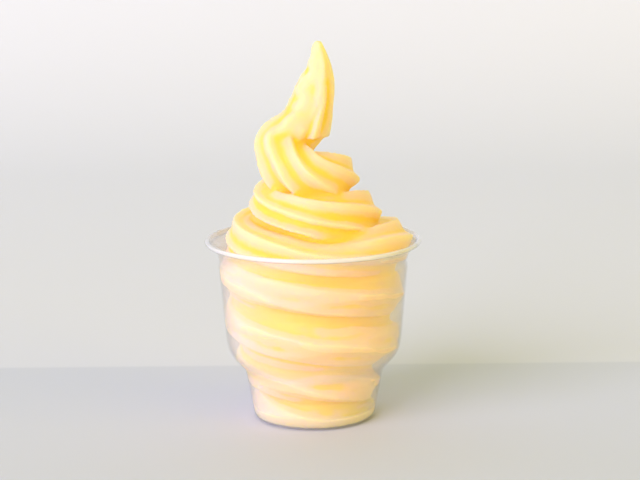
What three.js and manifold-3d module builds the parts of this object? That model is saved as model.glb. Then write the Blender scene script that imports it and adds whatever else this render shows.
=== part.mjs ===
// Pineapple soft serve in a clear stepped dessert cup. Millimetres, +Z up.
// The origin is the centre of the cup's foot, on the surface that the cup stands on.
// The front of the swirl, where the photograph looks, is the -Y side.

import * as THREE from 'three';
import { mergeVertices } from 'three/addons/utils/BufferGeometryUtils.js';
import Module from 'manifold-3d';

const wasm = await Module();
wasm.setup();

// Cup: thin clear plastic, formed from one sheet.
const WALL = 0.6;
const RIM_RADIUS = 49.0;
const RIM_TOP = 82.8;
const BEAD = 1.1;
const FOOT_INNER = 22.4;
const FOOT_OUTER = 25.6;
const FOOT_RECESS = 1.0;
const LOWER_WALL_BOTTOM = new THREE.Vector2(27.9, 2.8);
const LOWER_WALL_TOP = new THREE.Vector2(31.4, 21.4);
const SHOULDER_BOTTOM = new THREE.Vector2(32.3, 23.4);
const SHOULDER_TURN = new THREE.Vector2(38.6, 30.2);
const BOWL_BOTTOM = new THREE.Vector2(40.1, 37.5);
const BOWL_TOP = new THREE.Vector2(42.9, 70.6);
const GROOVE = new THREE.Vector2(42.4, 72.2);
const COLLAR_BOTTOM = new THREE.Vector2(42.7, 73.8);
const COLLAR_TURN = new THREE.Vector2(43.3, 76.6);
const COLLAR_TOP = new THREE.Vector2(46.6, 80.2);
const CUP_SIDES = 44;

// Clear space between the cup and what fills it.
const GAP = 0.3;
const FLOOR_CORNER = 1.6;

// Soft serve: one ridged rope, wound upwards and ended in a leaning peak.
// Places along the rope are given in turns. A whole turn lies at the front.
const ROPE_START = -0.5;
const COIL_END = 6.25;
const ROPE_END = 7.0;
const PITCH = 17.7;
const FIRST_HEIGHT = 10.0;
const PRESS = 1.4;
const CONTACT = 0.1;
const COIL_SHIFT = -0.4;
const RIDGES = 6;
const RIDGE_ROOT = 0.74;
const HORN_ROOT = 0.79;
const RIDGE_SHARPNESS = 2;
const GROOVE_PLACE = 0.4;
const RIDGE_STATIONS = [0, 0.2, 0.4, 0.7];
const KNOTS_PER_TURN = 8;
const PIECE_TURNS = 0.75;
const BEND_TURN = 6.28125;
const CORE_TURN = 5.6;
const CORE_TOP = 113.0;
const CORE_SIDES = 24;
const TIP_ROUND = 0.8;

// Turns inside the cup: turn, height over the even pitch.
const CUP_TURNS = [[-1.0, -7.0], [0.0, -7.0], [1.0, -6.2], [2.0, -3.4], [3.0, 0.3], [3.25, 0.8]];

// Turns that stand above the rim: turn, radius to the rope's centre, height over the even pitch,
// sideways shift.
const UPPER_TURNS = [
  [3.25, 33.3, 0.8, -0.4],
  [3.75, 36.0, 3.6, -0.4],
  [4.0, 33.5, 0.3, -0.4],
  [4.25, 29.2, -0.4, -0.4],
  [4.5, 25.8, -0.9, -0.4],
  [4.75, 21.8, -1.4, -0.4],
  [5.0, 20.3, -1.1, -0.4],
  [5.25, 16.6, 0.0, -1.2],
  [5.5, 15.8, 0.0, -2.1],
  [5.75, 13.5, -1.1, -3.0],
  [6.0, 12.0, -1.7, -3.0],
  [6.25, 11.7, 4.6, -3.0],
];

// Centre of the rope in the peak, one point for each eighth of a turn after the coil.
const PEAK = [
  [-7.8, -0.2, 130.0],
  [-2.3, 1.5, 136.4],
  [0.5, 1.5, 144.6],
  [2.5, 1.3, 153.7],
  [3.6, 0.8, 162.8],
  [3.0, 0.2, 170.6],
];

// Radius over the ridges: turn, radius.
const ROPE_RADIUS = [
  [-1.0, 10.6], [3.0, 10.6], [4.0, 10.2], [5.0, 10.3], [5.5, 10.8], [6.25, 11.7], [6.375, 11.9],
  [6.5, 11.7], [6.625, 10.3], [6.75, 8.3], [6.875, 5.0], [7.0, 1.6],
];

// Height that the top of the rope keeps under the turn lying on it: turn, share.
const TOP_HEIGHT = [
  [3.55, 1.0], [3.76, 1.13], [3.85, 1.1], [3.91, 0.86], [3.95, 0.74], [4.0, 0.79], [4.06, 1.04],
  [4.12, 1.14], [4.3, 1.0], [4.6, 1.1], [4.83, 1.2], [4.95, 0.98], [5.05, 0.82], [5.2, 0.54],
  [5.4, 0.6], [5.6, 1.0],
];

// Height that the underside has where it hangs over the turn below: turn, share.
const LOW_HEIGHT = [
  [4.6, 1.0], [4.8, 1.15], [4.9, 1.15], [5.0, 1.05], [5.1, 1.0], [5.6, 1.0], [5.8, 1.1], [6.0, 1.2],
  [6.1, 1.4], [6.2, 1.5], [6.3, 1.2], [6.4, 1.0],
];

// Underside that crowds and leans outward: turn, turning of its ridges (radians), lean for each
// millimetre down.
const LOW_LEAN = [
  [4.4, 0.0, 0.0], [4.7, 0.15, 0.15], [4.9, 0.3, 0.4], [5.08, 0.3, 0.4], [5.2, 0.2, 0.12], [5.4, 0.0, 0.0],
];

// Turning of the ridges about the rope: turn, degrees above the outward direction.
const RIDGE_TURNING = [
  [-1.0, -430], [0.0, -288], [2.0, 6], [3.0, 147], [3.75, 258], [4.0, 320], [4.5, 385], [5.0, 474],
  [5.5, 553], [5.75, 595], [6.0, 673], [6.12, 736], [6.25, 790], [6.4, 787], [6.6, 784], [7.0, 795],
];

// Ridges that run out on the peak: turn, lost share of the ridge on its left face, shallowness of
// the grooves, lost share of the ridge over the flap.
const RUN_OUT = [
  [6.1, 0.0, 0.0, 0.0], [6.25, 0.1, 0.1, 0.5], [6.35, 0.35, 0.45, 0.9], [6.45, 0.6, 0.8, 0.7],
  [6.6, 0.75, 1.0, 0.0], [7.0, 0.75, 1.0, 0.0],
];

// Reach of the filled middle past the rope's centre line: turn, distance.
const CORE_OFFSET = [
  [0.0, 5.5], [3.25, 5.5], [3.5, 4.0], [3.9, 1.5], [4.3, 3.0], [4.5, 2.6], [4.75, 3.8], [5.0, 1.5],
  [5.3, -2.0], [5.6, -4.0],
];

// Flap that hangs from the peak over the last turn, from its top down: row, side, front, height, radius.
const HEEL = [
  [0, 5.0, -1.6, 152.0, 5.0],
  [1, 4.3, -0.6, 146.0, 7.0],
  [2, 2.7, -0.6, 139.0, 8.5],
  [3, 1.5, -1.2, 133.0, 8.7],
  [4, 0.6, -1.9, 128.6, 8.2],
];
const HEEL_RIDGES = 3;
const HEEL_ROOT = 0.6;
const HEEL_FACING = -80;
const HEEL_ROWS = 8;

// Smooth curve through the rows of a table: value of one column at x.
function along(table, x, column = 1) {
  const slope = (i) => (table[i + 1][column] - table[i][column]) / (table[i + 1][0] - table[i][0]);
  const last = table.length - 1;
  const steepness = (i) => {
    if (i === 0) return slope(0);
    if (i === last) return slope(last - 1);
    const before = table[i][0] - table[i - 1][0];
    const after = table[i + 1][0] - table[i][0];
    return (slope(i - 1) * after + slope(i) * before) / (before + after);
  };
  let i = 0;
  while (i < last - 1 && x >= table[i + 1][0]) i += 1;
  const width = table[i + 1][0] - table[i][0];
  const t = THREE.MathUtils.clamp((x - table[i][0]) / width, 0, 1);
  const start = table[i][column] * (1 + 2 * t) * (1 - t) ** 2;
  const end = table[i + 1][column] * t * t * (3 - 2 * t);
  return start + end + width * t * (1 - t) * (steepness(i) * (1 - t) - steepness(i + 1) * t);
}

// Line moved sideways to its left by a distance, with square corners kept.
function offsetLine(line, distance) {
  return line.map((point, i) => {
    const before = line[Math.max(i - 1, 0)];
    const after = line[Math.min(i + 1, line.length - 1)];
    const entry = (i === 0 ? after.clone().sub(point) : point.clone().sub(before)).normalize();
    const exit = (i === line.length - 1 ? point.clone().sub(before) : after.clone().sub(point)).normalize();
    const mean = entry.clone().add(exit).normalize();
    const stretch = distance / Math.max(mean.dot(entry), 0.5);
    return new THREE.Vector2(point.x - mean.y * stretch, point.y + mean.x * stretch);
  });
}

// Outer face of the sheet in half section, from the axis under the foot up to the rolled edge.
function sheetLine() {
  const corner = new THREE.QuadraticBezierCurve(
    new THREE.Vector2(FOOT_OUTER, 0), new THREE.Vector2(LOWER_WALL_BOTTOM.x - 0.5, 0), LOWER_WALL_BOTTOM);
  const shoulder = new THREE.QuadraticBezierCurve(SHOULDER_BOTTOM, SHOULDER_TURN, BOWL_BOTTOM);
  const collar = new THREE.QuadraticBezierCurve(COLLAR_BOTTOM, COLLAR_TURN, COLLAR_TOP);
  return [
    new THREE.Vector2(0, FOOT_RECESS),
    new THREE.Vector2(FOOT_INNER - FOOT_RECESS, FOOT_RECESS),
    new THREE.Vector2(FOOT_INNER, 0),
    ...corner.getPoints(3),
    LOWER_WALL_TOP,
    ...shoulder.getPoints(5),
    BOWL_TOP,
    GROOVE,
    ...collar.getPoints(3),
  ];
}

// Inner face of the sheet, or a line that keeps clear of it, starting on the axis.
function insideLine(clearance) {
  const line = offsetLine(sheetLine(), WALL + clearance);
  line[0].x = 0;
  return line;
}

// Ring-shaped or full solid turned about +Z from a half section that runs upwards on its outside.
function turned(line, sides) {
  const geometry = new THREE.LatheGeometry(line, sides);
  geometry.rotateX(Math.PI / 2);
  geometry.deleteAttribute('normal');
  geometry.deleteAttribute('uv');
  return mergeVertices(geometry, 1e-4);
}

function cupGeometry() {
  const inner = insideLine(0);
  const centre = new THREE.Vector2(RIM_RADIUS - BEAD, RIM_TOP - BEAD);
  const bead = [];
  for (let degrees = -110; degrees <= 160; degrees += 45) {
    const angle = THREE.MathUtils.degToRad(degrees);
    bead.push(new THREE.Vector2(Math.cos(angle), Math.sin(angle)).multiplyScalar(BEAD).add(centre));
  }
  return turned([...sheetLine(), ...bead, ...inner.reverse()], CUP_SIDES);
}

// Closed solid for joining and cutting, without the collapsed triangles on the axis.
function solidOf(geometry) {
  const index = geometry.index.array;
  const triangles = [];
  for (let i = 0; i < index.length; i += 3) {
    const [a, b, c] = [index[i], index[i + 1], index[i + 2]];
    if (a !== b && b !== c && c !== a) triangles.push(a, b, c);
  }
  return new wasm.Manifold(new wasm.Mesh({
    numProp: 3,
    vertProperties: new Float32Array(geometry.attributes.position.array),
    triVerts: new Uint32Array(triangles),
  }));
}

// Half section of the space inside the cup that may be filled: floor, slanted corner, then up the wall.
function fillLine() {
  const line = insideLine(GAP);
  const floor = line[0].y;
  const wall = line.slice(line.findIndex((point) => point.y > floor + FLOOR_CORNER));
  const corner = LOWER_WALL_BOTTOM.x - WALL - GAP;
  return [
    new THREE.Vector2(0, floor),
    new THREE.Vector2(corner - FLOOR_CORNER, floor),
    new THREE.Vector2(corner, floor + FLOOR_CORNER),
    ...wall,
  ];
}

// Radius of a half section at a height.
function radiusAt(line, height) {
  let i = 1;
  while (i < line.length - 2 && height >= line[i + 1].y) i += 1;
  const t = THREE.MathUtils.clamp((height - line[i].y) / (line[i + 1].y - line[i].y), 0, 1);
  return line[i].x + (line[i + 1].x - line[i].x) * t;
}

// Space that may be filled, open upwards over the rim.
function fillSpace(fill) {
  const rim = fill[fill.length - 1];
  return solidOf(turned([
    ...fill,
    new THREE.Vector2(rim.x, RIM_TOP),
    new THREE.Vector2(RIM_RADIUS + 12, RIM_TOP + 1),
    new THREE.Vector2(RIM_RADIUS + 12, 200),
    new THREE.Vector2(0, 200),
  ], CUP_SIDES));
}

// Radius, height and sideways shift of the coil's centre line at a turn.
function coilAt(turn, fill) {
  const first = UPPER_TURNS[0];
  const even = FIRST_HEIGHT + PITCH * turn;
  if (turn >= first[0]) {
    const [radius, lift, shift] = [1, 2, 3].map((column) => along(UPPER_TURNS, turn, column));
    return { radius, height: even + lift, shift };
  }
  const height = even + along(CUP_TURNS, turn);
  const reach = radiusAt(fill, THREE.MathUtils.clamp(height, 4, 75));
  return { radius: reach - along(ROPE_RADIUS, turn) + PRESS, height, shift: COIL_SHIFT };
}

// Centre line of the whole rope, with a knot for every eighth of a turn.
function ropeLine(fill) {
  const knots = [];
  for (let turn = ROPE_START; turn <= COIL_END + 1e-6; turn += 1 / KNOTS_PER_TURN) {
    const { radius, height, shift } = coilAt(turn, fill);
    const angle = -Math.PI / 2 - 2 * Math.PI * turn;
    knots.push(new THREE.Vector3(shift + radius * Math.cos(angle), radius * Math.sin(angle), height));
  }
  PEAK.forEach((point) => knots.push(new THREE.Vector3(...point)));
  return new THREE.CatmullRomCurve3(knots, false, 'catmullrom', 0.5);
}

// Radius of a ridged section at an angle, as a share of its largest. A groove lies nearer to the
// ridge before it, and a ridge may keep a share of its height.
function ridge(angle, ridges, root, kept) {
  const u = THREE.MathUtils.euclideanModulo((ridges * angle) / (2 * Math.PI), 1);
  const depth = u < GROOVE_PLACE ? u / GROOVE_PLACE : (1 - u) / (1 - GROOVE_PLACE);
  return root + (1 - root) * kept * (1 - depth) ** RIDGE_SHARPNESS;
}

// Angles about a ridged section at which its points lie.
function stations(ridges) {
  const angles = [];
  for (let k = 0; k < ridges; k += 1) {
    RIDGE_STATIONS.forEach((share) => angles.push((2 * Math.PI * (k + share)) / ridges));
  }
  return angles;
}

// Share of its height that a ridge keeps at a turn, by the angle from the ridge on the peak's left face.
function ridgeKept(turn, angle) {
  const near = (x) => THREE.MathUtils.clamp(2 * Math.cos(x) - 1, 0, 1);
  const onLeftFace = along(RUN_OUT, turn, 1) * near(angle);
  const overFlap = along(RUN_OUT, turn, 3) * near(angle - (2 * Math.PI) / RIDGES);
  return 1 - onLeftFace - overFlap;
}

// Point of the rope, flattened against the cup's wall where it would pass it.
function pressed(point, fill) {
  if (point.z > RIM_TOP) return point;
  const reach = radiusAt(fill, Math.max(point.z, 4)) - CONTACT;
  const share = Math.min(reach / Math.hypot(point.x, point.y), 1);
  return point.set(point.x * share, point.y * share, point.z);
}

// Ridged sections along the rope. On the inside of a tight bend a section stops at the bend's centre.
function ropeSections(fill) {
  const line = ropeLine(fill);
  const share = (turn) => (turn - ROPE_START) / (ROPE_END - ROPE_START);
  const place = (turn) => line.getPoint(THREE.MathUtils.clamp(share(turn), 0, 1));
  const step = 1e-3;
  const heading = (turn) => place(turn + step).sub(place(turn - step)).normalize();
  const turns = [];
  for (let turn = ROPE_START; turn < 3 - 1e-6; turn += 1 / 16) turns.push(turn);
  for (let turn = 3; turn < 5 - 1e-6; turn += 1 / 20) turns.push(turn);
  for (let turn = 5; turn < ROPE_END + 1e-6; turn += 1 / 32) turns.push(turn);
  let outward = new THREE.Vector3();
  return turns.map((turn) => {
    const centre = place(turn);
    const forward = heading(turn);
    if (turn <= COIL_END) {
      outward = new THREE.Vector3(centre.x - coilAt(turn, fill).shift, centre.y, 0);
    }
    outward = outward.clone().addScaledVector(forward, -outward.dot(forward)).normalize();
    const upward = new THREE.Vector3().crossVectors(forward, outward);
    const arc = place(turn + 0.02).distanceTo(place(turn - 0.02));
    const bend = heading(turn + 0.02).sub(heading(turn - 0.02)).divideScalar(arc);
    const reach = 0.9 / Math.max(bend.length(), 1e-6);
    const towards = bend.clone().normalize();
    const radius = along(ROPE_RADIUS, turn);
    const spin = THREE.MathUtils.degToRad(along(RIDGE_TURNING, turn));
    const root = RIDGE_ROOT + (HORN_ROOT - RIDGE_ROOT) * along(RUN_OUT, turn, 2);
    const [top, low] = [along(TOP_HEIGHT, turn), along(LOW_HEIGHT, turn)];
    const [crowding, lean] = [along(LOW_LEAN, turn, 1), along(LOW_LEAN, turn, 2)];
    const points = stations(RIDGES).map((angle) => {
      const around = angle + spin - crowding * Math.min(Math.sin(angle + spin), 0);
      const out = new THREE.Vector3()
        .addScaledVector(outward, Math.cos(around))
        .addScaledVector(upward, Math.sin(around))
        .multiplyScalar(radius * ridge(angle, RIDGES, root, ridgeKept(turn, angle)));
      const rise = out.dot(upward);
      out.addScaledVector(upward, ((rise > 0 ? top : low) - 1) * rise);
      out.addScaledVector(outward, lean * Math.max(-rise, 0));
      out.addScaledVector(towards, -Math.max(out.dot(towards) - reach, 0));
      return pressed(out.add(centre), fill);
    });
    return { turn, centre, forward, points };
  });
}

// Closed solid through a run of sections. The last one of the rope is rounded to a point.
function ropePiece(sections) {
  const around = sections[0].points.length;
  const last = sections[sections.length - 1];
  const end = last.centre.clone();
  if (last.turn > ROPE_END - 1e-6) end.addScaledVector(last.forward, TIP_ROUND);
  const vertices = sections.flatMap((section) => section.points).concat(sections[0].centre, end);
  const first = around * (sections.length - 1);
  const index = [];
  for (let k = 0; k < around; k += 1) {
    const next = (k + 1) % around;
    for (let row = 0; row < sections.length - 1; row += 1) {
      const [a, b] = [row * around + k, row * around + next];
      index.push(a, b, b + around, a, b + around, a + around);
    }
    index.push(vertices.length - 2, next, k);
    index.push(vertices.length - 1, first + k, first + next);
  }
  const geometry = new THREE.BufferGeometry().setFromPoints(vertices);
  geometry.setIndex(index);
  return solidOf(geometry);
}

// Flap under the peak: level sections with three ridges, one of them to the front.
function heel() {
  const facing = THREE.MathUtils.degToRad(HEEL_FACING);
  const sections = [];
  for (let i = 0; i <= HEEL_ROWS; i += 1) {
    const row = ((HEEL.length - 1) * i) / HEEL_ROWS;
    const [side, front, height, radius] = [1, 2, 3, 4].map((column) => along(HEEL, row, column));
    const points = stations(HEEL_RIDGES).map((angle) => {
      const reach = radius * ridge(-angle, HEEL_RIDGES, HEEL_ROOT, 1);
      return new THREE.Vector3(
        side + reach * Math.cos(facing - angle), front + reach * Math.sin(facing - angle), height);
    });
    sections.push({ turn: row, centre: new THREE.Vector3(side, front, height), points });
  }
  return ropePiece(sections);
}

// Middle of the swirl: filled out to near the cup's wall and to the bottom of the grooves between turns.
function core(fill) {
  const line = [new THREE.Vector2(0, 0)];
  for (let turn = 0; turn < CORE_TURN; turn += 1 / 8) {
    const { radius, height } = coilAt(turn, fill);
    const reach = radius + along(CORE_OFFSET, turn);
    if (line.length === 1) line.push(new THREE.Vector2(reach, 0));
    line.push(new THREE.Vector2(reach, height));
  }
  line.push(new THREE.Vector2(0, CORE_TOP));
  return solidOf(turned(line, CORE_SIDES));
}

// The largest closed skin of a solid: pockets sealed inside it are filled and loose crumbs dropped.
function largestSkin(mesh) {
  const { vertProperties, triVerts, numProp } = mesh;
  const parent = Array.from({ length: vertProperties.length / numProp }, (_, i) => i);
  const find = (i) => {
    while (parent[i] !== i) {
      parent[i] = parent[parent[i]];
      i = parent[i];
    }
    return i;
  };
  for (let i = 0; i < triVerts.length; i += 3) {
    parent[find(triVerts[i + 1])] = find(triVerts[i]);
    parent[find(triVerts[i + 2])] = find(triVerts[i]);
  }
  const sizes = new Map();
  for (let i = 0; i < triVerts.length; i += 3) {
    const skin = find(triVerts[i]);
    sizes.set(skin, (sizes.get(skin) ?? 0) + 1);
  }
  const [largest] = [...sizes.entries()].sort((a, b) => b[1] - a[1])[0];
  const index = [];
  for (let i = 0; i < triVerts.length; i += 3) {
    if (find(triVerts[i]) === largest) index.push(triVerts[i], triVerts[i + 1], triVerts[i + 2]);
  }
  const geometry = new THREE.BufferGeometry();
  geometry.setAttribute('position', new THREE.BufferAttribute(new Float32Array(vertProperties), 3));
  geometry.setIndex(index);
  return geometry;
}

function softServeGeometry() {
  const fill = fillLine();
  const sections = ropeSections(fill);
  const cuts = [];
  for (let turn = ROPE_START; turn < BEND_TURN - 0.2; turn += PIECE_TURNS) cuts.push(turn);
  cuts.push(BEND_TURN, ROPE_END);
  const nearest = cuts.map((turn) => {
    const distances = sections.map((section) => Math.abs(section.turn - turn));
    return distances.indexOf(Math.min(...distances));
  });
  let swirl = core(fill).add(heel());
  for (let i = 0; i < nearest.length - 1; i += 1) {
    swirl = swirl.add(ropePiece(sections.slice(nearest[i], nearest[i + 1] + 1)));
  }
  return largestSkin(swirl.intersect(fillSpace(fill)).getMesh());
}

function named(name, geometry, material) {
  const mesh = new THREE.Mesh(geometry, material);
  mesh.name = name;
  geometry.computeVertexNormals();
  return mesh;
}

const clearPlastic = new THREE.MeshStandardMaterial({
  color: 0xe9eef0, roughness: 0.08, metalness: 0, transparent: true, opacity: 0.3,
});
const softServe = new THREE.MeshStandardMaterial({ color: 0xfdd669, roughness: 0.45, metalness: 0 });

const part = new THREE.Group();
part.add(named('cup', cupGeometry(), clearPlastic));
part.add(named('soft_serve', softServeGeometry(), softServe));

export default part;
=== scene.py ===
import bmesh
import bpy
import numpy as np
from mathutils import Matrix


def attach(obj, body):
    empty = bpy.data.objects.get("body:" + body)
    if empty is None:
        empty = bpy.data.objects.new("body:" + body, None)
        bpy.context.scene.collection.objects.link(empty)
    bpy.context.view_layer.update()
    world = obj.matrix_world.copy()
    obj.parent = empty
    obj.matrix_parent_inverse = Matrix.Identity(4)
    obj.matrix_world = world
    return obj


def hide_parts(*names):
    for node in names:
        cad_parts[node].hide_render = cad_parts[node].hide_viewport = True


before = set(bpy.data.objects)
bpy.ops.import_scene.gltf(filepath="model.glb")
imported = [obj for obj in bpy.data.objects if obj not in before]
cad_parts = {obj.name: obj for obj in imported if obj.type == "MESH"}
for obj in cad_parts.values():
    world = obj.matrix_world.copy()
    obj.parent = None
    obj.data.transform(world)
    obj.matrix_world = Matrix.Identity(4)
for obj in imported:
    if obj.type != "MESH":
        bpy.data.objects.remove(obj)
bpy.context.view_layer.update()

# The cup: one sheet of clear plastic, warmed and drawn into a foot, a narrow lower wall, a rounded
# shoulder, a bowl and a flared collar. Its edge is rolled into a bead, and it stands on the flat ring
# under its foot. Sizes are in millimetres.
MM = 0.001
SHEET = 0.6
RIM_RADIUS = 49.0
RIM_TOP = 82.8
BEAD = 1.1
BEAD_ARC = (-118, 165)
BEAD_POINTS = 16
CUP_SIDES = 192
CUP_CORNERS = [
    # radius, height, rounding of the corner
    (0.0, 1.0, 0.0), (21.4, 1.0, 0.8), (22.4, 0.0, 0.9), (27.5, 0.0, 2.6),
    (31.4, 21.4, 1.6), (32.4, 23.5, 1.4), (38.9, 30.6, 5.5), (40.1, 37.5, 4.0),
    (42.9, 70.4, 1.2), (42.4, 72.2, 1.2), (43.1, 76.2, 3.0), (46.9, 80.6, 0.0),
]
CORNER_STEPS = 7
LONGEST_CUT = 0.48
CUP_ROUGHNESS = 0.12
CUP_GREY = (0.76, 0.76, 0.77, 1.0)
# The bead is painted whiter and denser than the wall: a painted highlight for the light its rolled edge
# gathers.
BEAD_HIGHLIGHT_WHITE = (0.83, 0.86, 0.89, 1.0)
# A thin darker painted shade line runs along the bead's underside.
BEAD_SHADE_LINE = (0.4, 0.41, 0.44, 1.0)
BEAD_SHADE_LINE_PLACE = 0.55
BEAD_FADE = 0.5
HAZE_FRONT = 0.06
HAZE_EDGE = 0.6
HAZE_FALL = 1.4
BEAD_HIGHLIGHT_HAZE = 0.6
MIRROR_FROM = 0.28
MIRROR_FULL = 0.52


def rounded_line(corners, steps=CORNER_STEPS):
    """Line through corners, each cut back by its rounding, by less than half a side, and bridged by a
    curve that leaves and arrives along the two sides: (1-t)^2 a + 2 t (1-t) corner + t^2 b."""
    points = np.array([c[:2] for c in corners], float)
    t = np.linspace(0, 1, steps)[:, None]
    line = [points[:1]]
    cuts = [c[2] for c in corners[1:-1]]
    for before, corner, after, cut in zip(points, points[1:], points[2:], cuts):
        a = corner + min(cut / np.linalg.norm(before - corner), LONGEST_CUT) * (before - corner)
        b = corner + min(cut / np.linalg.norm(after - corner), LONGEST_CUT) * (after - corner)
        line.append((1 - t) ** 2 * a + 2 * t * (1 - t) * corner + t ** 2 * b)
    return np.vstack(line + [points[-1:]])


def moved_left(line, distance):
    """Line moved sideways to its left: each point goes along the normal of the mean of its two sides."""
    side = np.diff(line, axis=0)
    side /= np.linalg.norm(side, axis=1)[:, None]
    mean = np.vstack([side[:1], side[:-1] + side[1:], side[-1:]])
    mean /= np.linalg.norm(mean, axis=1)[:, None]
    return line + distance * np.stack([-mean[:, 1], mean[:, 0]], 1)


def closed_tube(ends, grid):
    """Skin of a tube from a grid of sections: four-sided faces between neighbours, and a fan of
    triangles round each of the two end points."""
    rows, columns = grid.shape[:2]
    here = np.arange(rows * columns).reshape(rows, columns)
    right = np.roll(here, -1, 1)
    quads = np.stack([here[:-1], right[:-1], right[1:], here[1:]], 2).reshape(-1, 4)
    first, last = rows * columns, rows * columns + 1
    fan_a = np.stack([np.full(columns, first), right[0], here[0]], 1)
    fan_b = np.stack([np.full(columns, last), here[-1], right[-1]], 1)
    points = np.vstack([grid.reshape(-1, 3), ends])
    return points, quads.tolist() + fan_a.tolist() + fan_b.tolist()


def turned(line, sides):
    """Closed skin of a half section turned about the upright axis: point (r, z) goes to
    (r cos a, r sin a, z) for each of the sides' angles a. The first and the last point lie on the axis."""
    a = np.arange(sides) * 2 * np.pi / sides
    radius, height = line[1:-1, :1], line[1:-1, 1:]
    grid = np.stack([radius * np.cos(a), radius * np.sin(a), np.repeat(height, sides, 1)], 2)
    return closed_tube([[0, 0, line[0, 1]], [0, 0, line[-1, 1]]], grid)


def piece(name, points, faces, material):
    """Smooth-shaded mesh object at the origin, from points in millimetres."""
    mesh = bpy.data.meshes.new(name)
    mesh.from_pydata((points * MM).tolist(), [], faces)
    mesh.polygons.foreach_set("use_smooth", np.ones(len(mesh.polygons), bool))
    mesh.materials.append(material)
    made = bpy.data.objects.new(name, mesh)
    bpy.context.collection.objects.link(made)
    return made


def new_material(name):
    """Material with its node tree and its Principled shader."""
    material = bpy.data.materials.new(name)
    material.use_nodes = True
    return material, material.node_tree, material.node_tree.nodes["Principled BSDF"]


def place_along(tree, axis):
    """Output that gives the place on the object along one axis, in metres."""
    across = tree.nodes.new("ShaderNodeTexCoord")
    parts = tree.nodes.new("ShaderNodeSeparateXYZ")
    tree.links.new(across.outputs["Object"], parts.inputs[0])
    return parts.outputs[axis]


def colours(tree, stops, source):
    """Colour ramp with a stop for each place and colour, read at the source's value."""
    ramp = tree.nodes.new("ShaderNodeValToRGB")
    elements = ramp.color_ramp.elements
    elements[0].position, elements[0].color = stops[0]
    elements[1].position, elements[1].color = stops[-1]
    for place, colour in stops[1:-1]:
        elements.new(place).color = colour
    tree.links.new(source, ramp.inputs["Fac"])
    return ramp.outputs["Color"]


cup_outside = rounded_line(CUP_CORNERS)
cup_inside = moved_left(cup_outside, SHEET)
bead_angle = np.radians(np.linspace(*BEAD_ARC, BEAD_POINTS))[:, None]
bead_centre = np.array([RIM_RADIUS - BEAD, RIM_TOP - BEAD])
bead_edge = bead_centre + BEAD * np.hstack([np.cos(bead_angle), np.sin(bead_angle)])
cup_section = np.vstack([cup_outside, bead_edge, cup_inside[::-1]])
cup_section[[0, -1], 0] = 0

clear_plastic, tree, shader = new_material("clear_plastic")
shader.inputs["Roughness"].default_value = CUP_ROUGHNESS
slant = tree.nodes.new("ShaderNodeLayerWeight")
grazing = tree.nodes.new("ShaderNodeMath")
grazing.operation = "POWER"
grazing.inputs[1].default_value = HAZE_FALL
haze = tree.nodes.new("ShaderNodeMapRange")
haze.inputs["To Min"].default_value = HAZE_FRONT
haze.inputs["To Max"].default_value = HAZE_EDGE
# Up the bead the tint runs from the wall's grey through a darker painted shade line to a whiter painted
# highlight, and the haze grows denser.
on_bead = tree.nodes.new("ShaderNodeMapRange")
on_bead.inputs["From Min"].default_value = (RIM_TOP - 2 * BEAD - BEAD_FADE) * MM
on_bead.inputs["From Max"].default_value = (RIM_TOP - 2 * BEAD + BEAD_FADE) * MM
on_bead.inputs["To Max"].default_value = BEAD_HIGHLIGHT_HAZE
denser = tree.nodes.new("ShaderNodeMath")
denser.operation = "MAXIMUM"
mirror = tree.nodes.new("ShaderNodeMapRange")
mirror.inputs["From Min"].default_value = MIRROR_FROM
mirror.inputs["From Max"].default_value = MIRROR_FULL
bead_highlight_and_shade = [(0.0, CUP_GREY), (BEAD_SHADE_LINE_PLACE * BEAD_HIGHLIGHT_HAZE, BEAD_SHADE_LINE), (BEAD_HIGHLIGHT_HAZE, BEAD_HIGHLIGHT_WHITE)]
tree.links.new(slant.outputs["Facing"], grazing.inputs[0])
tree.links.new(grazing.outputs[0], haze.inputs["Value"])
tree.links.new(place_along(tree, "Z"), on_bead.inputs["Value"])
tree.links.new(colours(tree, bead_highlight_and_shade, on_bead.outputs["Result"]), shader.inputs["Base Color"])
tree.links.new(haze.outputs["Result"], denser.inputs[0])
tree.links.new(on_bead.outputs["Result"], denser.inputs[1])
tree.links.new(denser.outputs[0], shader.inputs["Alpha"])
tree.links.new(haze.outputs["Result"], mirror.inputs["Value"])
tree.links.new(mirror.outputs["Result"], shader.inputs["Metallic"])

clear_cup = piece("clear_cup", *turned(cup_section, CUP_SIDES), clear_plastic)
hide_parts("cup")
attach(clear_cup, "root")
clear_cup.visible_shadow = False

# The soft serve: frozen pineapple dessert, pressed out of a six-pointed nozzle as one ridged rope. It is
# wound up from the cup's floor, squeezed against the wall, and pulled off at the top into a leaning peak.
# The rope's place is counted in turns round the cup. First come the values of its centre line.
ROPE_START = -1.0
COIL_END = 6.25
ROPE_END = 7.0
KNOTS_PER_TURN = 8
PITCH = 17.7
FIRST_HEIGHT = 10.0
COIL_SHIFT = -0.4
PRESS = 1.1
PRESSED_HEIGHTS = (4, 75)
WALL_FROM = 25.0
INTO_WALL = 0.25
CUP_TURNS = np.array([
    # turn, height over the even pitch
    (-1.0, -7.0), (0.0, -7.0), (1.0, -6.2), (2.0, -3.4), (3.0, 0.3), (3.25, 0.8),
])
UPPER_TURNS = np.array([
    # turn, radius to the rope's centre, height over the even pitch, sideways shift
    (3.25, 33.3, 0.8, -0.4), (3.75, 36.0, 3.6, -0.4), (4.0, 33.5, 0.3, -0.4),
    (4.25, 29.2, -0.4, -0.4), (4.5, 25.8, -0.9, -0.4), (4.75, 21.8, -1.4, -0.4),
    (5.0, 20.3, -1.1, -0.4), (5.25, 16.6, 0.0, -1.2), (5.5, 15.8, 0.0, -2.1),
    (5.75, 13.5, -1.1, -3.0), (6.0, 12.0, -1.7, -3.0), (6.25, 11.7, 4.6, -3.0),
])
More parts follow.
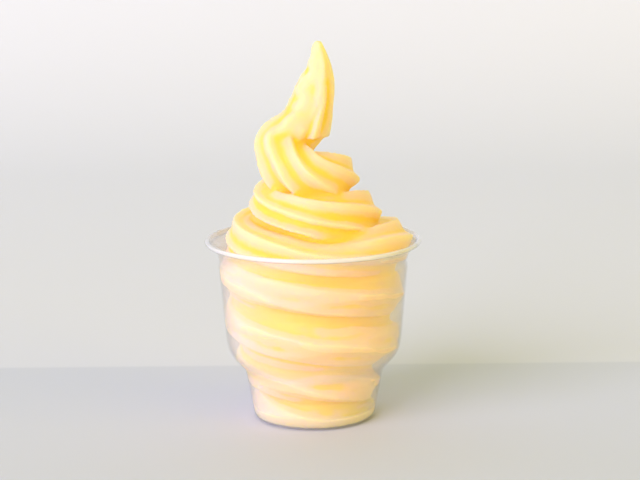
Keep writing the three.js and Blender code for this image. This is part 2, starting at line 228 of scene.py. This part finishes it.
PEAK = np.array([
    # points of the centre line from the last turn to the tip
    (-7.8, -0.2, 130.0), (-2.3, 1.5, 136.4), (0.5, 1.5, 144.6),
    (2.5, 1.3, 153.7), (3.6, 0.8, 162.8), (3.0, 0.2, 171.2),
])
HEADING_STEP = 1e-3
BEND_STEP = 0.02
BEND_SHARE = 0.9

# Values of the rope's section: its ridges, and where they are pressed, worn away or drawn out.
SECTIONS_PER_TURN = 128
POINTS_AROUND = 144
RIDGES = 6
RIDGE_ROOT = 0.74
HORN_ROOT = 0.79
PRESSED_ROOT = 0.82
PRESSED_TO = 3.5
PRESSED_FADE = 0.3
RIDGE_SHARPNESS = 1.6
GROOVE_PLACE = 0.4
ROPE_RADIUS = np.array([
    # turn, radius over the ridges
    (-1.0, 10.6), (3.0, 10.6), (4.0, 10.2), (5.0, 10.3), (5.5, 10.8), (6.25, 11.7),
    (6.375, 11.9), (6.5, 11.7), (6.625, 10.3), (6.75, 8.3), (6.875, 5.0), (7.0, 1.6),
])
RIDGE_TURNING = np.array([
    # turn, degrees that the ridges stand above the outward direction
    (-1.0, -430), (0.0, -288), (2.0, 6), (3.0, 147), (3.75, 258), (4.0, 320), (4.5, 385),
    (5.0, 474), (5.5, 553), (5.75, 595), (6.0, 673), (6.12, 736), (6.25, 790), (6.4, 787),
    (6.6, 784), (7.0, 795),
])
TOP_HEIGHT = np.array([
    # turn, share of its height that the rope's top keeps under the turn lying on it
    (3.55, 1.0), (3.76, 1.13), (3.85, 1.1), (3.91, 0.86), (3.95, 0.74), (4.0, 0.79),
    (4.06, 1.04), (4.12, 1.14), (4.3, 1.0), (4.6, 1.1), (4.83, 1.2), (4.95, 0.98),
    (5.05, 0.82), (5.2, 0.54), (5.4, 0.6), (5.6, 1.0),
])
LOW_HEIGHT = np.array([
    # turn, share of its height that the rope's underside has where it hangs over the turn below
    (4.6, 1.0), (4.8, 1.15), (4.9, 1.15), (5.0, 1.05), (5.1, 1.0), (5.6, 1.0), (5.8, 1.1),
    (6.0, 1.2), (6.1, 1.4), (6.2, 1.5), (6.3, 1.2), (6.4, 1.0),
])
LOW_GATHER = np.array([
    # turn, how far the underside's ridges crowd outward, how far it leans out for each millimetre down
    (4.4, 0.0, 0.0), (4.7, 0.15, 0.15), (4.88, 0.3, 0.45), (5.0, 0.35, 0.62),
    (5.1, 0.35, 0.62), (5.2, 0.3, 0.45), (5.3, 0.15, 0.2), (5.45, 0.0, 0.0),
])
HORN_FACE = np.array([
    # turn, share that the ridge on the peak's left face has lost, shallowness of the grooves,
    # share that the ridge over the flap has lost
    (6.1, 0.0, 0.0, 0.0), (6.25, 0.1, 0.1, 0.5), (6.35, 0.35, 0.45, 0.9),
    (6.45, 0.6, 0.8, 0.7), (6.6, 0.75, 1.0, 0.0), (7.0, 0.75, 1.0, 0.0),
])
BURIED = np.array([
    # turn, share that the ridge lying under the next turn has lost
    (3.8, 0.0), (3.95, 1.0), (4.2, 1.0), (4.35, 0.0),
])
FOLD_HOLLOW = np.array([
    # turn, share that the groove right of the peak's fold goes deeper
    (6.2, 0.0), (6.35, 0.14), (6.65, 0.14), (6.8, 0.0),
])
FOLD_ANGLE = 90.0
FOLD_NARROWNESS = 1.5

# Values of the flap that hangs from the peak over the last turn, and of the filled middle.
HEEL = np.array([
    # side, front, height and radius of the flap
    (5.0, -1.6, 152.0, 5.0), (4.3, -0.6, 146.0, 7.0), (2.7, -0.6, 139.0, 8.5),
    (1.5, -1.2, 133.0, 8.7), (0.6, -1.9, 128.6, 8.2),
])
HEEL_SECTIONS = 40
HEEL_RIDGES = 3
HEEL_ROOT = 0.42
HEEL_FACING = (-76.0, -92.0)
CORE_OFFSET = np.array([
    # turn, how far the filled middle goes out past the rope's centre line
    (0.0, 3.8), (3.25, 3.8), (3.5, 3.6), (3.9, 1.5), (4.3, 3.4), (4.5, 4.4), (4.62, 4.8),
    (4.75, 5.0), (5.0, 2.5), (5.3, -2.0), (5.6, -4.0),
])
CORE_TURN = 5.6
CORE_STEPS_PER_TURN = 16
CORE_SIDES = 48
CORE_TOP = 113.0
CORE_FOOT = 1.7
CORE_FOOT_CUT = 1.0
CORE_FOOT_HEIGHTS = np.array([2.0, 3.0, 4.0, 5.5])

# Values of the skin round them all: its grain, its softened bends and creases, and its unevenness.
GRAIN = 0.72
SKIN_FACES = 190000
SOFTENING = 0.5
BEND_PLACE = np.array([-15.0, -5.0, 130.0])
BEND_REACH = 8.0
BEND_ROUNDS = 30
CREASE_DEPTH = 0.8
CREASE_PASSES = 3
CREASE_ROUNDS = 4
SUNK_ROUNDS = 24
WAVES = 24
WAVE_SPREAD = (0.7, 1.4)
SLACK = 0.3
SLACK_LENGTH = 32.0
SLACK_STRETCH = np.array([1.0, 1.0, 5.0])
SLACK_FADE = 6
SLACK_SEED = 5
UNEVEN = 0.05
UNEVEN_LENGTH = 9.0
UNEVEN_SEED = 3
TORN = 0.6
TORN_LENGTH = 8.0
TORN_FROM = 132.0
TORN_OVER = 12.0
TORN_SEED = 8

# Values of the colour, which paints light and shade on the ice: 0 is where the wall is touched, 0.5 an open
# face and 1 the bottom of a crease, whose deeper, darker tone is painted shade; crests are painted paler, a
# painted highlight.
ICE_PAINTED_LIGHT_TONES = [
    (0.0, (1.0, 0.79, 0.46, 1)), (0.25, (0.99, 0.64, 0.43, 1)), (0.5, (0.987, 0.655, 0.33, 1)),
    (0.75, (0.985, 0.67, 0.13, 1)), (1.0, (0.985, 0.7, 0.1, 1)),
]
OPEN_TONE = 0.5
CREST_HIGHLIGHT_TONE = 0.2
CREST_HIGHLIGHT_TONE_IN_CUP = 0.47
CREASE_SHADE_GAIN_IN_CUP = 0.8
TONE_ROUNDS = 2
COLLAR_FOOT = 74.0
BELOW_RIM = 2
IN_CUP_FADE = 4
TOUCH_REACH = 2.6
UNDERSIDE_SHADE = 2.6
TOUCH_SHARE = 0.74
TOUCH_ROUNDS = 3
ICE_ROUGHNESS = 0.45
ICE_IOR = 1.36
ICE_GLOW = (1.0, 0.8, 0.07)
ICE_GLOW_DEPTH = 0.022


def along(table, x, column=1):
    """Smooth curve through the rows of a table: a cubic between two rows, whose slope at a row is the
    mean of the slopes on its two sides, the nearer row counting more."""
    knots, values = table[:, 0], table[:, column]
    width = np.diff(knots)
    slope = np.diff(values) / width
    mean = (slope[:-1] * width[1:] + slope[1:] * width[:-1]) / (width[:-1] + width[1:])
    steepness = np.concatenate([slope[:1], mean, slope[-1:]])
    i = np.clip(np.searchsorted(knots, x, side="right") - 1, 0, len(width) - 1)
    t = np.clip((x - knots[i]) / width[i], 0, 1)
    ends = values[i] * (1 + 2 * t) * (1 - t) ** 2 + values[i + 1] * t ** 2 * (3 - 2 * t)
    return ends + width[i] * t * (1 - t) * (steepness[i] * (1 - t) - steepness[i + 1] * t)


def inner_face(height):
    """Radius of the cup's wall on its inside at a height."""
    wall = cup_inside[cup_inside[:, 0] > WALL_FROM]
    return np.interp(height, wall[:, 1], wall[:, 0])


def coil_centre(turn):
    """Radius, height and sideways shift of the coil's centre line. In the cup the ridges pass the wall by
    the press, which flattens them; above the rim all three follow the table of the upper turns."""
    upper = turn >= UPPER_TURNS[0, 0]
    even = FIRST_HEIGHT + PITCH * turn
    height = even + np.where(upper, along(UPPER_TURNS, turn, 2), along(CUP_TURNS, turn))
    inside = inner_face(np.clip(height, *PRESSED_HEIGHTS)) - along(ROPE_RADIUS, turn) + PRESS
    radius = np.where(upper, along(UPPER_TURNS, turn), inside)
    shift = np.where(upper, along(UPPER_TURNS, turn, 3), COIL_SHIFT)
    return radius, height, shift


def rope_place(turn):
    """Point of the rope's centre line: a smooth curve through knots on the coil, one for each eighth of a
    turn at the angle -pi/2 - 2 pi turn, and then through the points of the peak."""
    knot_turn = np.arange(ROPE_START, COIL_END + 1e-6, 1 / KNOTS_PER_TURN)
    radius, height, shift = coil_centre(knot_turn)
    angle = -np.pi / 2 - 2 * np.pi * knot_turn
    coil = np.stack([shift + radius * np.cos(angle), radius * np.sin(angle), height], 1)
    knots = np.vstack([coil, PEAK])
    knots = np.vstack([2 * knots[0] - knots[1], knots, 2 * knots[-1] - knots[-2]])
    u = np.clip((turn - ROPE_START) / (ROPE_END - ROPE_START), 0, 1) * (len(knots) - 3)
    i = np.minimum(u.astype(int), len(knots) - 4)
    w = (u - i)[:, None]
    a, b, c, d = knots[i], knots[i + 1], knots[i + 2], knots[i + 3]
    return b + 0.5 * w * (c - a + w * (2 * a - 5 * b + 4 * c - d + w * (3 * (b - c) + d - a)))


def unit(vectors):
    """Vectors scaled to length one."""
    return vectors / np.maximum(np.linalg.norm(vectors, axis=-1, keepdims=True), 1e-9)


def dot(a, b):
    """Dot product along the last axis, which is kept."""
    return (a * b).sum(-1, keepdims=True)


def heading(turn):
    """Direction in which the rope's centre line runs."""
    return unit(rope_place(turn + HEADING_STEP) - rope_place(turn - HEADING_STEP))


def star(angle, ridges, root, kept=1.0):
    """Radius of a ridged section as a share of its largest: root + (1 - root) * kept * (1 - d)^sharpness,
    where d goes from 0 on a ridge to 1 in the groove between two. The groove lies nearer to the ridge
    before it."""
    u = ridges * angle / (2 * np.pi) % 1
    d = np.where(u < GROOVE_PLACE, u / GROOVE_PLACE, (1 - u) / (1 - GROOVE_PLACE))
    return root + (1 - root) * kept * (1 - d) ** RIDGE_SHARPNESS


def on_ridge(angle, number):
    """One on the ridge of that number and zero from the next ones on: 2 cos(angle from it) - 1, cut at 0."""
    return np.clip(2 * np.cos(angle - 2 * np.pi * number / RIDGES) - 1, 0, 1)


def rope_section(turn, angle):
    """Radius of the rope at each turn and angle: the star, with shallower grooves in the cup and on the
    peak, ridges worn away by the shares of the tables, and a deeper groove beside the peak's fold."""
    horn = [along(HORN_FACE, turn, column)[:, None] for column in range(1, 4)]
    pressed = np.clip((PRESSED_TO - turn) / PRESSED_FADE, 0, 1)[:, None]
    root = RIDGE_ROOT + (HORN_ROOT - RIDGE_ROOT) * horn[1] + (PRESSED_ROOT - RIDGE_ROOT) * pressed
    kept = 1 - horn[0] * on_ridge(angle, 0) - horn[2] * on_ridge(angle, 1)
    kept -= np.clip(along(BURIED, turn), 0, 1)[:, None] * on_ridge(angle, 2)
    from_fold = FOLD_NARROWNESS * (angle - np.radians(FOLD_ANGLE))
    beside_fold = np.clip(2 * np.cos(from_fold) - 1, 0, 1) * (angle < np.pi)
    reach = along(ROPE_RADIUS, turn)[:, None] * star(angle, RIDGES, root, kept)
    return reach * (1 - np.clip(along(FOLD_HOLLOW, turn), 0, 1)[:, None] * beside_fold)


def rope_skin():
    """Ridged rope as a grid of points: at each turn its section, turned by the table of turnings. A section
    stops at the centre of a tight bend. Its top and its underside are pressed or drawn by their own
    shares, and its underside leans out."""
    turn = np.linspace(ROPE_START, ROPE_END, int((ROPE_END - ROPE_START) * SECTIONS_PER_TURN) + 1)
    centre = rope_place(turn)
    forward = heading(turn)
    outward = centre * [1, 1, 0] - coil_centre(turn)[2][:, None] * [1, 0, 0]
    for i in np.flatnonzero(turn > COIL_END + 1e-6):
        outward[i] = outward[i - 1] - forward[i] * (outward[i - 1] @ forward[i])
    outward = unit(outward - dot(outward, forward) * forward)
    upward = np.cross(forward, outward)
    step = rope_place(turn + BEND_STEP) - rope_place(turn - BEND_STEP)
    bend = (heading(turn + BEND_STEP) - heading(turn - BEND_STEP)) / np.linalg.norm(step, axis=1)[:, None]
    bend_room = BEND_SHARE / np.maximum(np.linalg.norm(bend, axis=1), 1e-6)[:, None, None]
    angle = np.arange(POINTS_AROUND) * 2 * np.pi / POINTS_AROUND
    around = np.radians(along(RIDGE_TURNING, turn))[:, None] + angle
    around = around - along(LOW_GATHER, turn)[:, None] * np.minimum(np.sin(around), 0)
    reach = rope_section(turn, angle)
    out = (reach * np.cos(around))[..., None] * outward[:, None]
    out = out + (reach * np.sin(around))[..., None] * upward[:, None]
    rise = dot(out, upward[:, None])
    top, low = along(TOP_HEIGHT, turn)[:, None, None], along(LOW_HEIGHT, turn)[:, None, None]
    out += (np.where(rise > 0, top, low) - 1) * rise * upward[:, None]
    out += along(LOW_GATHER, turn, 2)[:, None, None] * np.maximum(-rise, 0) * outward[:, None]
    towards = unit(bend)[:, None]
    out -= np.maximum(dot(out, towards) - bend_room, 0) * towards
    return centre, centre[:, None] + out


def held_in_cup(points):
    """Points moved straight in to the wall where they would pass it, and up to the floor. They stay just
    inside the sheet, so that no gap shows."""
    held = points.copy()
    held[:, 2] = np.maximum(held[:, 2], cup_inside[0, 1] - INTO_WALL)
    limit = np.where(held[:, 2] < RIM_TOP, inner_face(held[:, 2]) + INTO_WALL, np.inf)
    held[:, :2] *= np.minimum(limit / np.maximum(np.hypot(held[:, 0], held[:, 1]), 1e-6), 1)[:, None]
    return held


def heel_skin():
    """Flap under the peak as a grid of points: level three-ridged sections, one ridge to the front, whose
    middle and radius follow the table from the top down."""
    down = np.linspace(0, len(HEEL) - 1, HEEL_SECTIONS)
    row = np.column_stack([np.arange(len(HEEL)), HEEL])
    place = np.stack([along(row, down, column) for column in range(1, 4)], 1)
    angle = -np.arange(POINTS_AROUND) * 2 * np.pi / POINTS_AROUND
    facing = np.radians(np.linspace(*HEEL_FACING, len(down)))[:, None]
    reach = along(row, down, 4)[:, None] * star(angle - facing, HEEL_RIDGES, HEEL_ROOT)
    return place, place[:, None] + np.stack([reach * np.cos(angle), reach * np.sin(angle), 0 * reach], 2)


def core_section():
    """Half section of the filled middle: the coil's centre line moved out or in by the table's offset."""
    turn = np.arange(0, CORE_TURN, 1 / CORE_STEPS_PER_TURN)
    radius, height, _ = coil_centre(turn)
    side = np.stack([radius + along(CORE_OFFSET, turn), height], 1)
    foot = np.stack([inner_face(CORE_FOOT_HEIGHTS) + INTO_WALL, CORE_FOOT_HEIGHTS], 1)
    floor_edge = [foot[0, 0] - CORE_FOOT_CUT, CORE_FOOT]
    return np.vstack([[0, CORE_FOOT], floor_edge, foot, side, [0, CORE_TOP]])


def array_of(collection, attribute, width, kind=np.float32):
    """Values of one attribute of a mesh's vertices, edges or faces as an array."""
    values = np.empty(len(collection) * width, kind)
    collection.foreach_get(attribute, values)
    return values.reshape(-1, width)


def move_vertices(mesh, points):
    """Puts a mesh's vertices at points in millimetres."""
    mesh.vertices.foreach_set("co", (points * MM).astype(np.float32).ravel())
    mesh.update()


def without_specks(mesh):
    """Takes away loose specks beside a skin: only what edges join to the highest vertex stays."""
    edges = array_of(mesh.edges, "vertices", 2, np.int32)
    kept = np.zeros(len(mesh.vertices), bool)
    kept[array_of(mesh.vertices, "co", 3)[:, 2].argmax()] = True
    before = 0
    while kept.sum() > before:
        before = kept.sum()
        kept[edges[kept[edges].any(1)]] = True
    body = bmesh.new()
    body.from_mesh(mesh)
    body.verts.ensure_lookup_table()
    bmesh.ops.delete(body, geom=[body.verts[i] for i in np.flatnonzero(~kept)], context="VERTS")
    body.to_mesh(mesh)
    body.free()


def joined(name, bodies, grain, most_faces):
    """One skin around everything that the bodies enclose, on a grid of that grain, thinned out to a number
    of triangles where it is flattest."""
    starts = np.cumsum([0] + [len(points) for points, _ in bodies])
    faces = [[i + start for i in face] for (_, some), start in zip(bodies, starts.tolist()) for face in some]
    made = piece(name, np.vstack([points for points, _ in bodies]), faces, bpy.data.materials.new(name))
    remesh = made.modifiers.new("one_skin", "REMESH")
    remesh.mode = "VOXEL"
    remesh.voxel_size = grain * MM
    soften = made.modifiers.new("softened", "SMOOTH")
    soften.factor = SOFTENING
    soften.iterations = 1
    thin = made.modifiers.new("thinned", "DECIMATE")
    shown = made.evaluated_get(bpy.context.evaluated_depsgraph_get()).data
    thin.ratio = min(1.0, most_faces / (2 * len(shown.polygons)))
    skin = bpy.data.meshes.new_from_object(made.evaluated_get(bpy.context.evaluated_depsgraph_get()))
    bpy.data.objects.remove(made)
    without_specks(skin)
    return skin


def neighbours_mean(values, edges, rounds=1):
    """Mean over the vertices that an edge joins to each vertex, taken again and again."""
    count = np.maximum(np.bincount(edges.ravel(), minlength=len(values)), 1)[:, None]
    for _ in range(rounds):
        total = np.zeros_like(values)
        np.add.at(total, edges[:, 0], values[edges[:, 1]])
        np.add.at(total, edges[:, 1], values[edges[:, 0]])
        values = total / count
    return values


def uneven(points, length, seed):
    """Soft bumps of about one unit, a column of them for the points: a sum of sine waves of nearly that
    length, which run in directions drawn by the seeded generator."""
    draw = np.random.default_rng(seed)
    way = unit(draw.normal(size=(WAVES, 3))) * 2 * np.pi / (length * draw.uniform(*WAVE_SPREAD, (WAVES, 1)))
    waves = np.sin(points @ way.T + draw.uniform(0, 2 * np.pi, WAVES))
    return waves.mean(1, keepdims=True) * np.sqrt(2 * WAVES)


def sunk(mesh, points, edges):
    """How far each vertex lies below the skin around it: the distance, along the normal, to the mean of the
    vertices within some millimetres."""
    mean = neighbours_mean(points, edges, SUNK_ROUNDS)
    return dot(mean - points, array_of(mesh.vertices, "normal", 3))


rope_centre, rope_grid = rope_skin()
rope_points = rope_grid.reshape(-1, 3)
slack_share = np.clip((RIM_TOP - SLACK_FADE - rope_points[:, 2:]) / SLACK_FADE, 0, 1)
slack = slack_share * SLACK * uneven(rope_points * SLACK_STRETCH, SLACK_LENGTH, SLACK_SEED)
rope_points = held_in_cup(rope_points + unit(rope_points * [1, 1, 0]) * slack)
rope = closed_tube(rope_centre[[0, -1]], rope_points.reshape(rope_grid.shape))
core = turned(core_section(), CORE_SIDES)
heel_centre, heel_grid = heel_skin()
heel = closed_tube(heel_centre[[0, -1]], heel_grid)
swirl_skin = joined("swirl_skin", [rope, core, heel], GRAIN, SKIN_FACES)
swirl_edges = array_of(swirl_skin.edges, "vertices", 2, np.int32)
swirl_points = array_of(swirl_skin.vertices, "co", 3).astype(float) / MM

bend_share = np.exp(-((swirl_points - BEND_PLACE) ** 2).sum(1, keepdims=True) / BEND_REACH ** 2)
for _ in range(BEND_ROUNDS):
    swirl_points += SOFTENING * bend_share * (neighbours_mean(swirl_points, swirl_edges) - swirl_points)
for _ in range(CREASE_PASSES):
    too_deep = np.maximum(sunk(swirl_skin, swirl_points, swirl_edges) - CREASE_DEPTH, 0)
    lift = neighbours_mean(too_deep * (swirl_points[:, 2:] > RIM_TOP), swirl_edges, CREASE_ROUNDS)
    swirl_points += lift * array_of(swirl_skin.vertices, "normal", 3)
    move_vertices(swirl_skin, swirl_points)
swirl_normals = array_of(swirl_skin.vertices, "normal", 3)
torn = np.clip((swirl_points[:, 2:] - TORN_FROM) / TORN_OVER, 0, 1) * np.clip(-swirl_normals[:, :1], 0, 1)
bumps = UNEVEN * uneven(swirl_points, UNEVEN_LENGTH, UNEVEN_SEED)
bumps = bumps + torn * TORN * uneven(swirl_points, TORN_LENGTH, TORN_SEED)
swirl_points = held_in_cup(swirl_points + swirl_normals * bumps)
move_vertices(swirl_skin, swirl_points)

swirl_height, swirl_radius = swirl_points[:, 2], np.hypot(swirl_points[:, 0], swirl_points[:, 1])
# Painted light on the ice: the deeper a vertex lies in a crease, the deeper and darker its tone, a painted
# shade; the higher on a crest, the paler, a painted highlight.
painted_shade = neighbours_mean(sunk(swirl_skin, swirl_points, swirl_edges), swirl_edges, TONE_ROUNDS)[:, 0]
# In the cup the tone goes paler where the ice is pressed flat on the wall; faces there that turn down lose
# this and keep a darker tone, a painted shade on the undersides.
beside_wall = inner_face(np.minimum(swirl_height, COLLAR_FOOT)) + INTO_WALL - swirl_radius
touching = np.where(swirl_height < RIM_TOP - BELOW_RIM, np.clip(1 - beside_wall / TOUCH_REACH, 0, 1), 0)
touching *= np.clip(1 + UNDERSIDE_SHADE * array_of(swirl_skin.vertices, "normal", 3)[:, 2], 0, 1)
touching = neighbours_mean(touching[:, None], swirl_edges, TOUCH_ROUNDS)[:, 0]
in_cup = np.clip((RIM_TOP - BELOW_RIM - swirl_height) / IN_CUP_FADE, 0, 1)
lightest = CREST_HIGHLIGHT_TONE + (CREST_HIGHLIGHT_TONE_IN_CUP - CREST_HIGHLIGHT_TONE) * in_cup
tone_value = np.clip(OPEN_TONE + (1 + CREASE_SHADE_GAIN_IN_CUP * in_cup) * painted_shade, lightest, 1)
tone_value *= 1 - TOUCH_SHARE * touching

pineapple_ice, tree, shader = new_material("pineapple_ice")
# The ice's base colour follows this tone of painted light and shade.
shade_tone_node = tree.nodes.new("ShaderNodeAttribute")
shade_tone_node.attribute_name = "painted_shade"
tree.links.new(colours(tree, ICE_PAINTED_LIGHT_TONES, shade_tone_node.outputs["Fac"]), shader.inputs["Base Color"])
shader.inputs["Roughness"].default_value = ICE_ROUGHNESS
shader.inputs["Subsurface Weight"].default_value = 1.0
shader.inputs["Subsurface Radius"].default_value = ICE_GLOW
shader.inputs["Subsurface Scale"].default_value = ICE_GLOW_DEPTH
shader.inputs["IOR"].default_value = ICE_IOR

swirl_skin.materials.clear()
swirl_skin.materials.append(pineapple_ice)
swirl_skin.polygons.foreach_set("use_smooth", np.ones(len(swirl_skin.polygons), bool))
swirl_tone = swirl_skin.attributes.new("painted_shade", "FLOAT", "POINT")
swirl_tone.data.foreach_set("value", tone_value.astype(np.float32))
soft_serve_swirl = bpy.data.objects.new("soft_serve_swirl", swirl_skin)
bpy.context.collection.objects.link(soft_serve_swirl)
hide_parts("soft_serve")
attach(soft_serve_swirl, "root")

# The floor and the wall behind it: one pale matt sheet that curves up at the back. A line across it, where
# its paint gets a little lighter, stands for the table's back edge. Sizes are in metres.
FLOOR_SIDE = 4.0
FLOOR_FRONT = -3.0
WALL_BACK = 1.2
WALL_HEIGHT = 3.0
WALL_ROUNDING = 0.5
FLOOR_STEPS = 24
FLOOR_ROUGHNESS = 0.7
FLOOR_PAINT = [(0.082, (0.59, 0.655, 0.81, 1)), (0.086, (0.67, 0.73, 0.875, 1))]
floor_corners = [(FLOOR_FRONT, 0.0, 0.0), (WALL_BACK, 0.0, WALL_ROUNDING), (WALL_BACK, WALL_HEIGHT, 0.0)]
floor_line = rounded_line(floor_corners, FLOOR_STEPS)
floor_points = np.vstack([
    np.column_stack([np.full(len(floor_line), side), floor_line]) for side in (-FLOOR_SIDE, FLOOR_SIDE)
])
floor_left = np.arange(len(floor_line) - 1)
floor_right = floor_left + len(floor_line)
floor_faces = np.stack([floor_left, floor_right, floor_right + 1, floor_left + 1], 1)
pale_floor, tree, shader = new_material("pale_floor")
tree.links.new(colours(tree, FLOOR_PAINT, place_along(tree, "Y")), shader.inputs["Base Color"])
shader.inputs["Roughness"].default_value = FLOOR_ROUGHNESS
floor = piece("floor", floor_points / MM, floor_faces.tolist(), pale_floor)

# The light: a large soft window of cool daylight from the left front, a weaker warm fill from the right,
# and an even warm sky. The floor's cool paint comes out grey under them.
WINDOW_PLACE = (-5.0, -5.8, 3.3)
WINDOW_SIZE = 6.4
WINDOW_POWER = 790.0
WINDOW_COLOUR = (0.88, 0.79, 1.0)
FILL_PLACE = (6.2, -3.4, 1.3)
FILL_SIZE = 5.0
FILL_POWER = 215.0
FILL_COLOUR = (1.0, 0.7, 0.06)
LIGHT_AIM = np.array([0.0, 0.0, 0.08])
SKY_STRENGTH = 0.58
SKY_COLOUR = (1.0, 0.9, 0.32, 1)


def soft_light(name, place, size, power, colour):
    """Square area light that faces the middle of the object."""
    lamp = bpy.data.lights.new(name, "AREA")
    lamp.size = size
    lamp.energy = power
    lamp.color = colour
    made = bpy.data.objects.new(name, lamp)
    back = unit(np.array(place) - LIGHT_AIM)
    side = unit(np.cross([0, 0, 1], back))
    facing = Matrix(np.stack([side, np.cross(back, side), back], 1).tolist())
    made.matrix_world = Matrix.Translation(place) @ facing.to_4x4()
    bpy.context.collection.objects.link(made)


soft_light("window", WINDOW_PLACE, WINDOW_SIZE, WINDOW_POWER, WINDOW_COLOUR)
soft_light("warm_fill", FILL_PLACE, FILL_SIZE, FILL_POWER, FILL_COLOUR)
sky = bpy.data.worlds.new("sky")
sky.use_nodes = True
sky.node_tree.nodes["Background"].inputs["Color"].default_value = SKY_COLOUR
sky.node_tree.nodes["Background"].inputs["Strength"].default_value = SKY_STRENGTH
bpy.context.scene.world = sky
bpy.context.scene.view_settings.view_transform = "Standard"

# The camera: in front of the cup and above its rim, looking slightly down, at the distance and the angle
# from which the photograph was taken.
CAMERA_PLACE = (0.0, -0.750, 0.2303)
CAMERA_DOWN = 11.21
CAMERA_ROLL = -0.56
CAMERA_LENS = 95.06
CAMERA_SENSOR = 36.0
CAMERA_SHIFT = 0.0109
lens = bpy.data.cameras.new("camera")
lens.sensor_width = CAMERA_SENSOR
lens.lens = CAMERA_LENS
lens.shift_x = CAMERA_SHIFT
camera = bpy.data.objects.new("camera", lens)
tilt = Matrix.Rotation(np.radians(90 - CAMERA_DOWN), 4, "X")
roll = Matrix.Rotation(np.radians(CAMERA_ROLL), 4, "Z")
camera.matrix_world = Matrix.Translation(CAMERA_PLACE) @ (tilt @ roll)
bpy.context.collection.objects.link(camera)
bpy.context.scene.camera = camera
